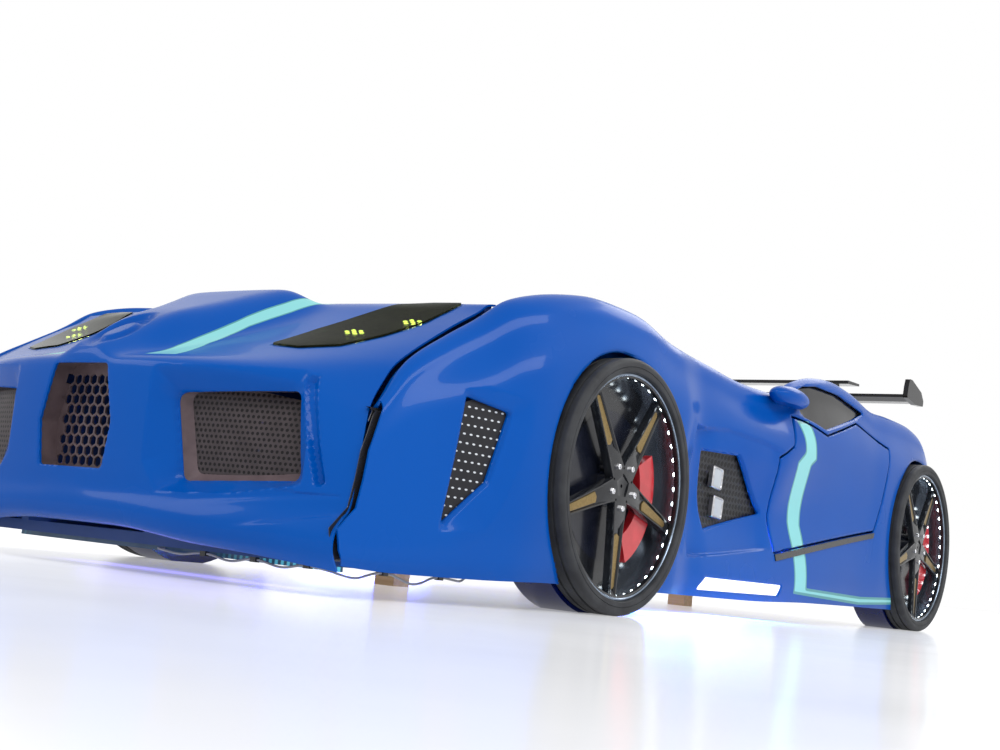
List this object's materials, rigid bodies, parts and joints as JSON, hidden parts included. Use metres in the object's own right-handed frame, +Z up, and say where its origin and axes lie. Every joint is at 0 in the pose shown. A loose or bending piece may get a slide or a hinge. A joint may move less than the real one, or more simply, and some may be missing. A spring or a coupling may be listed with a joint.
{
  "type": "car bed for a child",
  "caption": "Low racing-car bed for a child: glossy shells, opening doors, fixed wheels and a rear wing round a slatted board frame.",
  "frame": {"origin": "on the floor, midway between nose tip and tail face and midway between the sides", "axes": "+Z up, the nose points along -Y, the car's own left side is +X"},
  "size_m": [1.09, 2.3191, 0.618],
  "materials": {
    "shell": "glossy blue thermoformed sheet",
    "board": "blue-grey faced particle board",
    "pine": "plain pine",
    "tyre": "matt black",
    "rim": "satin black",
    "chrome": "polished",
    "disc": "black moulded disc",
    "caliper": "glossy red",
    "light": "white diffuser over light-emitting diodes",
    "grille": "dark perforated moulding",
    "window": "glossy black",
    "lens": "smoked clear moulding",
    "black": "satin black",
    "foot": "glossy dark blue",
    "steel": "zinc plated",
    "lead": "thin grey insulated lead"
  },
  "bodies": {
    "bed": {"brake_calipers": "caliper", "brake_discs": "disc", "centre_beam": "pine", "centre_legs": "pine", "control_box": "black", "corner_brackets": "steel", "door_hinge_brackets": "steel", "door_hinge_pins": "steel", "fender_vent_left": "grille", "fender_vent_right": "grille", "foot_board": "board", "frame_bolts": "steel", "grille_centre": "grille", "grille_left": "grille", "grille_right": "grille", "head_board": "board", "headlight_leds": "light", "headlight_lens_left": "lens", "headlight_lens_right": "lens", "lead_clips": "black", "light_lead": "lead", "lug_bolts": "chrome", "mirrors": "shell", "nose_floor": "board", "nose_ribs": "board", "nose_shell": "shell", "rim_front_left": "rim", "rim_front_right": "rim", "rim_rear_left": "rim", "rim_rear_right": "rim", "side_intake_left": "grille", "side_intake_right": "grille", "side_lamps": "light", "side_rail_left": "board", "side_rail_right": "board", "side_shell_left": "shell", "side_shell_right": "shell", "sill_strips": "black", "skirt_light_panels": "light", "slat_ledgers": "pine", "slats": "pine", "tail_shell": "shell", "tyre_front_left": "tyre", "tyre_front_right": "tyre", "tyre_rear_left": "tyre", "tyre_rear_right": "tyre", "underglow_bars": "light", "wheel_feet": "foot", "wheel_light_rings": "light", "window_left": "window", "window_right": "window", "wing_blade": "black", "wing_end_plates": "black", "wing_struts": "black", "wing_upper_blade": "black"},
    "door_left": {"door_left": "shell", "door_hinge_arm_left": "steel"},
    "door_right": {"door_right": "shell", "door_hinge_arm_right": "steel"},
    "power_switch": {"power_switch": "black"}
  },
  "joints": [
    {"name": "door_left_hinge", "type": "hinge", "parent": "bed", "child": "door_left", "pos_m": [0.484, 0.04, 0.274], "axis": [0, 0, -1], "range_deg": [0, 40]},
    {"name": "door_right_hinge", "type": "hinge", "parent": "bed", "child": "door_right", "pos_m": [-0.484, 0.04, 0.274], "axis": [0, 0, 1], "range_deg": [0, 40]},
    {"name": "power_switch_rocker", "type": "hinge", "parent": "bed", "child": "power_switch", "pos_m": [-0.13, 1.066, 0.158], "axis": [1, 0, 0], "range_deg": [-9, 9]}
  ]
}
